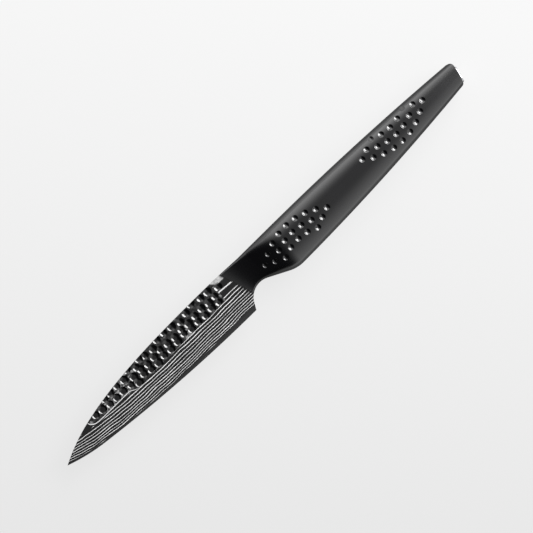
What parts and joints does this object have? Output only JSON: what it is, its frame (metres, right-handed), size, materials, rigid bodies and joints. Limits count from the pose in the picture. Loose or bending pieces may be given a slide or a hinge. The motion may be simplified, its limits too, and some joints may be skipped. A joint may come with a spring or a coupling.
{
  "type": "paring knife",
  "caption": "Small kitchen knife with a hammered, layer-etched black blade, a plain neck and a hollow black steel handle with round grip dimples.",
  "frame": {"origin": "bottom centre of the box of the whole knife, lying on its right side", "axes": "+X from the tip to the butt, +Y from the cutting edge to the spine, +Z out of the blade's left side"},
  "size_m": [0.2056, 0.019, 0.014],
  "materials": {
    "blade": "black-coated stainless steel with pale etched lines",
    "bolster": "satin black coating on stainless steel",
    "handle": "satin black coating on stainless steel",
    "butt_cap": "polished stainless steel",
    "weld": "ground flush and coated with the handle"
  },
  "bodies": {
    "root": {"blade": "blade", "bolster": "bolster", "handle_shell_left": "handle", "handle_shell_right": "handle", "butt_cap": "butt_cap", "spine_weld": "weld", "belly_weld": "weld", "neck_weld": "weld"}
  },
  "joints": []
}
